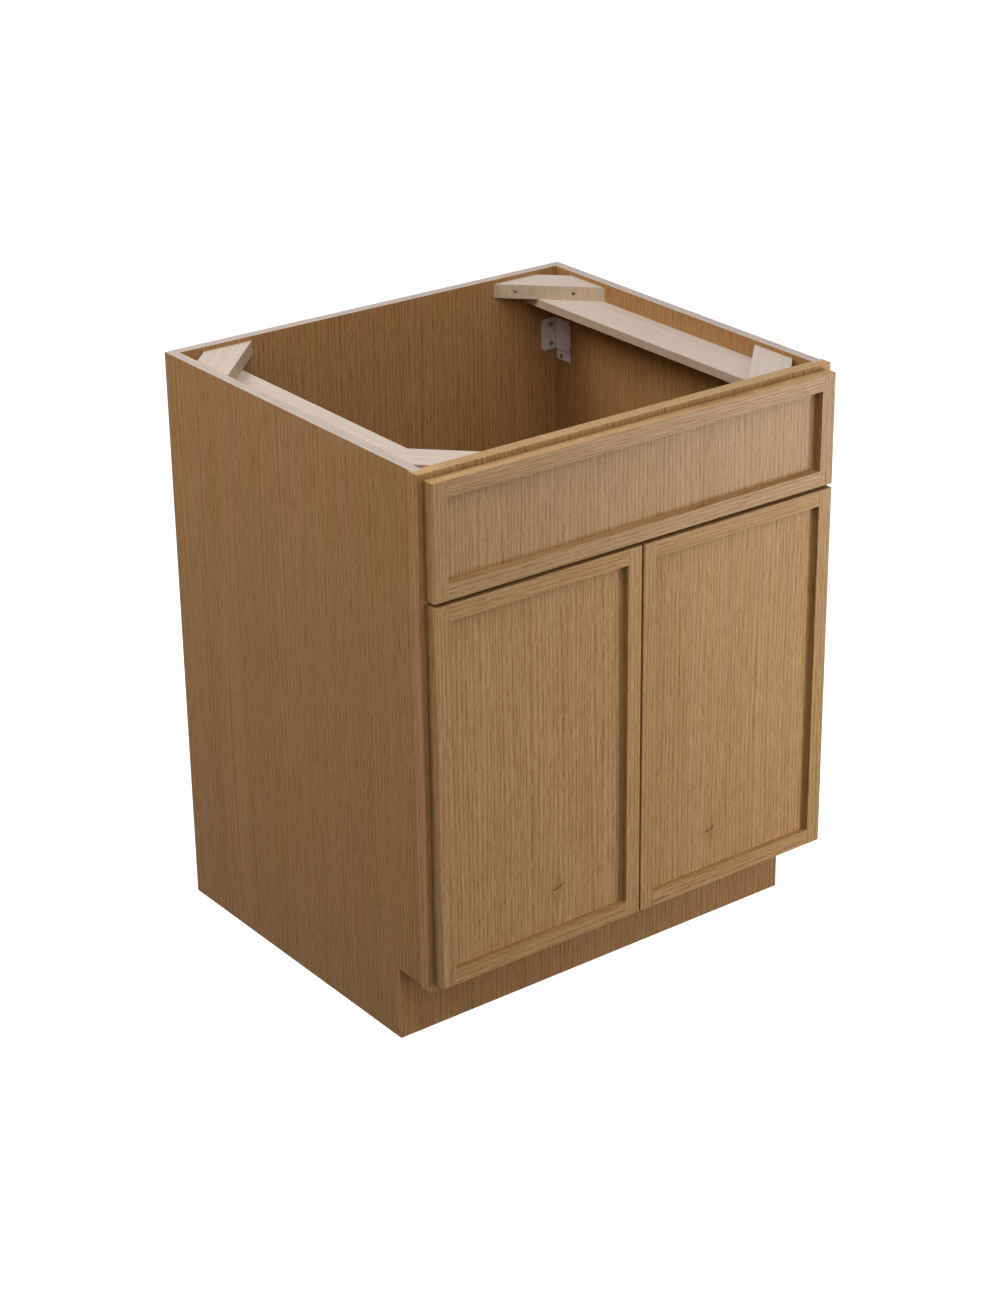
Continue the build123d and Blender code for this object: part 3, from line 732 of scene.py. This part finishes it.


def bracket_finish():
    """Powder coat with a faint orange peel, and painted shade near both folds and round the tab's hole."""
    coat = Finish("bracket_paint")
    at = coat.place()
    peel = coat.noise(at, FITTING_SCALES["peel"], 2)
    cloud = coat.noise(at, FITTING_SCALES["dust"], 2)
    colour = coat.mix(coat.span(cloud, 0.35, 0.65), rgb(216, 208, 208), rgb(202, 193, 193))
    low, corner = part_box("right_corner_bracket")
    split = coat.step("SeparateXYZ", {0: at})
    from_x = coat.math("SUBTRACT", coat.math("ABSOLUTE", split), corner[0] - BRACKET_SHEET)
    from_y = coat.math("SUBTRACT", split.node.outputs[1], corner[1] - BRACKET_SHEET)
    from_z = coat.math("SUBTRACT", split.node.outputs[2], low[2] + TAB_HEIGHT)
    from_x, from_y, from_z = (coat.math("ABSOLUTE", part) for part in (from_x, from_y, from_z))
    on_side_leg = coat.math("SUBTRACT", from_x, BRACKET_SHEET)
    from_upright_fold = coat.math("MAXIMUM", from_x, from_y)
    from_tab_fold = coat.math("MAXIMUM", from_z, on_side_leg)
    from_fold = coat.math("MINIMUM", from_upright_fold, from_tab_fold)
    # painted shade along both folds
    colour = coat.mix(coat.span(from_fold, *FOLD_SHADE, 0.6, 0.0), colour, rgb(112, 102, 98))
    # a painted dark ring that stands for the shade in the tab's hole
    centre = (0, corner[1] - TAB_HOLE[0], low[2] + TAB_HOLE[1])
    hole = {0: coat.vector("MULTIPLY", at, (0, 1, 1)), 1: centre}
    from_hole = coat.step("VectorMath", hole, "Value", operation="DISTANCE")
    colour = coat.mix(coat.span(from_hole, *HOLE_SHADE_RING, 0.8, 0.0), colour, rgb(72, 62, 56))
    rough = coat.span(peel, 0.3, 0.7, 0.4, 0.52, smooth=False)
    return coat.surface(colour, rough, peel, 0.05 * MM, 0.4)


print("bracket sheet:", round(BRACKET_SHEET / MM, 1), "mm, bare rim to", round(HOLE_SHADE_RING[1] / MM, 1), "mm")

# %% [markdown]
# ## Plating and plastic
# The hinges and their screws are nickel plated and brushed by the rollers, so their roughness changes in
# fine lines. The screws of the braces are plated too, and those of the brackets are dull zinc, greyer where
# the plating is thin. The bumpers and spacers are a soft cloudy grey plastic. These parts are small, so a
# noise or two in the colour and the roughness is enough to keep them from looking like toys.

# %% Small finishes
def nickel_finish():
    """Plated steel, brushed along Z, with faint handling marks."""
    metal = Finish("hinge_nickel")
    at = metal.place()
    brushed = metal.noise(at, FITTING_SCALES["brushed"], 2, 0.6)
    marks = metal.noise(at, FITTING_SCALES["marks"], 3, 0.6)
    colour = metal.mix(metal.span(marks, 0.4, 0.7), rgb(212, 208, 202), rgb(186, 181, 174))
    lines = metal.span(brushed, 0.3, 0.7, 0.22, 0.36)
    rough = metal.math("ADD", lines, metal.span(marks, 0.5, 0.75, 0.0, 0.12))
    return metal.surface(colour, rough, brushed, 0.02 * MM, 0.25, {"Metallic": 1.0})


def zinc_finish():
    """Dull plating with small grey worn places."""
    zinc = Finish("dull_zinc")
    at = zinc.place()
    cloud = zinc.noise(at, FITTING_SCALES["worn"], 3, 0.6)
    fine = zinc.noise(at, FITTING_SCALES["fine"], 1)
    colour = zinc.mix(zinc.span(cloud, 0.42, 0.68), rgb(136, 127, 118), rgb(168, 158, 148))
    rough = zinc.span(fine, 0.3, 0.7, 0.46, 0.62, smooth=False)
    return zinc.surface(colour, rough, fine, 0.02 * MM, 0.4, {"Metallic": 0.5})


def bumper_finish():
    """Soft, slightly cloudy plastic."""
    soft = Finish("bumper_plastic")
    cloud = soft.noise(soft.place(), FITTING_SCALES["cloudy"], 2)
    colour = soft.mix(soft.span(cloud, 0.3, 0.7), rgb(222, 220, 214), rgb(200, 197, 190))
    rough = soft.span(cloud, 0.3, 0.7, 0.3, 0.45, smooth=False)
    return soft.surface(colour, rough, cloud, 0.05 * MM, 0.3)


nickel, zinc = nickel_finish(), zinc_finish()
fittings = {"bracket": bracket_finish(), "hinge": nickel, "bumpers": bumper_finish()}
fittings["spacers"] = fittings["bumpers"]
for name in NODES:
    for word, finish in fittings.items():
        if word in name:
            dress(name, finish)
print("bare nodes:", [name for name in NODES if not NODES[name].data.materials])

# %% [markdown]
# ## Screws
# Every brace, bracket and hinge is held by screws with a low round head and a cross recess. A screw is a
# profile turned round its axis: out over the head, down its rim, under it, and along the shank to a
# point. A cylinder with a cross cut out of it would need repair where the cut meets the dome, so the screw
# is worked out on a grid of ring and angle instead. The recess is pressed into the rings of the head
# as a dent, deepest in the middle, with four arms. First and last rings shrink to one point, so the
# surface is closed. The same grid serves for all screws and is only scaled and turned into place.

# %% One screw as a grid
RINGS, TURNS = 16, 48  # rings over the head, and points round each
RIM = 0.97  # where the dome ends, as a share of the head's radius
RECESS_LIMIT = 1.3 * MM  # deepest that the cross goes
ARM_REACH = 0.62  # length of the cross's arms, as a share of the head's radius
ARM_TIP, ARM_SPREAD = 0.07, 0.13  # half an arm's width at its tip, and what it gains towards the middle


def screw_grid(radius, height, shank, length):
    """Points of one screw that stands along +Z with the underside of its head at 0.

    Over the head the height follows a flat dome: height times 1 minus a fifth of the squared way out. The
    cross is a dent: its depth times how close a point is to either of two bars that taper outwards. It is
    three quarters of the head's height deep, and no deeper than 1.3 mm.
    """
    way = np.linspace(0.0, RIM, RINGS)
    angle = np.linspace(0, 2 * np.pi, TURNS, endpoint=False)
    out, turn = np.meshgrid(way, angle, indexing="ij")
    x, y = out * np.cos(turn), out * np.sin(turn)

    def arm(along, across):
        """1 inside one bar of the cross, falling to 0 outside it. The bar gets narrower outwards."""
        taper = np.clip(1 - np.abs(along) / ARM_REACH, 0, 1)
        flank = 1.25 - np.abs(across) / (ARM_TIP + ARM_SPREAD * taper)
        return np.clip(flank, 0, 1) * np.minimum(1, 2 * taper)

    dent = np.maximum(arm(x, y), arm(y, x))
    z = height * (1 - 0.2 * out**2) - min(0.75 * height, RECESS_LIMIT) * dent
    head = np.stack([radius * x, radius * y, z], -1)
    # the rim, the underside, the shank and the tip: share of the radius, and level
    steps = ((1.0, 0.62 * height), (1.0, 0.1 * height), (0.96, 0.0), (shank / radius, 0.0))
    steps += ((shank / radius, -0.75 * length), (0.02, -length))
    ring = np.stack([radius * np.cos(angle), radius * np.sin(angle), np.ones(TURNS)], -1)
    rest = [ring * (share, share, level) for share, level in steps]
    return np.concatenate([head, np.array(rest)])


def grid_faces(rings, first):
    """Quads between neighbouring rings that face outwards, and triangles round the middle and the tip."""

    def index(ring, step):
        """The number of a point: the middle comes first, and then ring after ring."""
        return first + 1 + (ring - 1) * TURNS + step % TURNS

    r, c = np.meshgrid(np.arange(1, rings - 1), np.arange(TURNS), indexing="ij")
    quads = np.stack([index(r, c), index(r + 1, c), index(r + 1, c + 1), index(r, c + 1)], -1)
    c = np.arange(TURNS)
    top = np.stack([np.full(TURNS, first), index(1, c), index(1, c + 1)], -1)
    tip = first + 1 + (rings - 1) * TURNS
    end = np.stack([np.full(TURNS, tip), index(rings - 1, c + 1), index(rings - 1, c)], -1)
    return quads.reshape(-1, 4).tolist() + top.tolist() + end.tolist()


print("rings on one screw:", len(screw_grid(4 * MM, 2 * MM, 2 * MM, 14 * MM)), "of", TURNS, "points")

# %% [markdown]
# ## From one screw to a piece
# The screws of one place are one piece, so that eight screws don't make eight objects. A seat is the point
# under a head and the way that the head faces. Each screw's cross is turned a little further than the last.
# Every piece rides on the body that it is driven into, so the screws of a cup swing with the door.

# %% Place the screws
SCREW_TURN = 0.7  # radians from one screw's cross to the next, since no two stop alike
SHARP_EDGE = 35  # degrees between faces that meet in a sharp line


def screws(name, body, seats, sizes, finish=nickel):
    """One piece with a screw at each seat, the point under the head and the way that the head faces.

    The sizes are the radius and height of the head, the radius of the shank, and the length.
    """
    grid = screw_grid(*sizes)
    points, faces, first = [], [], 0
    for number, (place, facing) in enumerate(seats):
        turn = Vector(facing).to_track_quat("Z", "Y").to_matrix()
        turn = turn @ Matrix.Rotation(SCREW_TURN * number, 3, "Z")
        moved = grid @ np.array(turn).T + np.array(place)
        # one point for the middle, the rings, and one for the tip
        points += [moved[0, :1], moved[1:].reshape(-1, 3), moved[-1].mean(0, keepdims=True)]
        faces += grid_faces(len(grid), first)
        first += 2 + (len(grid) - 1) * TURNS
    mesh = bpy.data.meshes.new(name)
    mesh.from_pydata(np.concatenate(points).tolist(), [], faces)
    mesh.shade_smooth()
    mesh.set_sharp_from_angle(angle=np.radians(SHARP_EDGE))
    mesh.materials.append(finish)
    piece = bpy.data.objects.new(name, mesh)
    bpy.context.scene.collection.objects.link(piece)
    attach(piece, body)
    print(name, "screws:", len(seats), "faces:", len(faces))


# %% [markdown]
# ## Where the screws sit
# A brace is screwed to the two walls of its corner through bores square to its long face. Each bore ends
# nine millimetres past the face, and the screw's tall head fills its end. The brackets have two screws in
# the back leg, and the tab's hole stays open. Each hinge has two screws in its base and two in the wings
# of its cup. The braces come first.

# %% Screws in the braces
BRACE_LEG = 120.65 * MM  # along each wall, from the corner to the long face
BORE_DEPTH = 9 * MM
BORE_PLACES = (33 * MM, 123 * MM)  # along the long face
HEAD_LIFT = 0.05 * MM  # the head's underside over the end of its bore
# radius and height of the head, radius of the shank, and length
BRACE_SCREW = (2.9 * MM, 4.4 * MM, 1.6 * MM, 30 * MM)


def brace_seats(name, along):
    """Seats in one brace. along points down the wall that is nearest to the first bore."""
    low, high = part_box(name)
    corner_x = low[0] if "left" in name else high[0]
    corner_y = high[1] if "back" in name else low[1]
    corner = np.array([corner_x, corner_y, (low[2] + high[2]) / 2])
    along = np.array(along, float)
    across = np.array([-along[1], along[0], 0])
    seats = []
    aim = -(along + across) / np.sqrt(2)
    for place in BORE_PLACES:
        step = place / np.sqrt(2)
        mouth = corner + (BRACE_LEG - step) * along + step * across
        seats.append((mouth + aim * (BORE_DEPTH - HEAD_LIFT), -aim))
    return seats


BRACES = {  # the way from the corner to the first bore
    "brace_back_right": (-1, 0, 0),
    "brace_back_left": (0, -1, 0),
    "brace_front_left": (1, 0, 0),
    "brace_front_right": (0, 1, 0),
}
pocket_seats = [seat for brace, along in BRACES.items() for seat in brace_seats(brace, along)]
screws("brace_screws", "cabinet", pocket_seats, BRACE_SCREW)

# %% [markdown]
# ## Brackets and hinges
# Their screws come in pairs, one above the other, and the boxes of the parts say where. A hinge's base is
# on the inner edge of the frame's stile, and the wings of its cup are on the back of the door.

# %% Screws in the brackets and hinges
BRACKET_LEG = 51.5 * MM  # height of the leg on the back panel
BRACKET_INSET = 11.6 * MM
BRACKET_SPACING = 30.7 * MM
BASE_SPACING = 32 * MM
CUP_INSET = 32 * MM  # wing screws from the door's edge
CUP_SPACING = 45 * MM
BASE_SCREW = (3.6 * MM, 1.5 * MM, 1.9 * MM, 14 * MM)
CUP_SCREW = (3.1 * MM, 0.7 * MM, 1.9 * MM, 8.5 * MM)
BRACKET_SCREW = (4.1 * MM, 1.8 * MM, 1.9 * MM, 13 * MM)
SIDES = {"left": -1, "right": 1}


def middle(name, axis):
    """Halfway between the two ends of a node's box."""
    low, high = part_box(name)
    return (low[axis] + high[axis]) / 2


def end_of(name, axis, side):
    """The low end of a node's box for side -1, the high end for side 1."""
    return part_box(name)[0 if side < 0 else 1][axis]


def pair(centre, spacing, facing):
    """Two seats, one above the other."""
    return [((centre[0], centre[1], centre[2] + step), facing) for step in (-spacing / 2, spacing / 2)]


bracket_seats = []
for side, sign in SIDES.items():
    bracket = f"{side}_corner_bracket"
    leg_x = end_of(bracket, 0, sign) - sign * BRACKET_INSET
    leg_y = end_of(bracket, 1, 1) - BRACKET_SHEET
    leg_z = end_of(bracket, 2, 1) - BRACKET_LEG / 2
    bracket_seats += pair((leg_x, leg_y, leg_z), BRACKET_SPACING, (0, -1, 0))

    base_seats, cup_seats = [], []
    for level in ("lower", "upper"):
        arm, cup = f"{side}_{level}_hinge_arm", f"{side}_{level}_hinge_cup"
        base = (end_of(arm, 0, -sign), middle(f"frame_{side}_stile", 1), middle(arm, 2))
        base_seats += pair(base, BASE_SPACING, (-sign, 0, 0))
        wing_x = end_of(f"{side}_door_{side}_stile", 0, sign) - sign * CUP_INSET
        cup_seats += pair((wing_x, end_of(cup, 1, 1), middle(cup, 2)), CUP_SPACING, (0, 1, 0))
    screws(f"{side}_base_screws", "cabinet", base_seats, BASE_SCREW)
    screws(f"{side}_cup_screws", f"{side}_door", cup_seats, CUP_SCREW)
screws("bracket_screws", "cabinet", bracket_seats, BRACKET_SCREW, zinc)
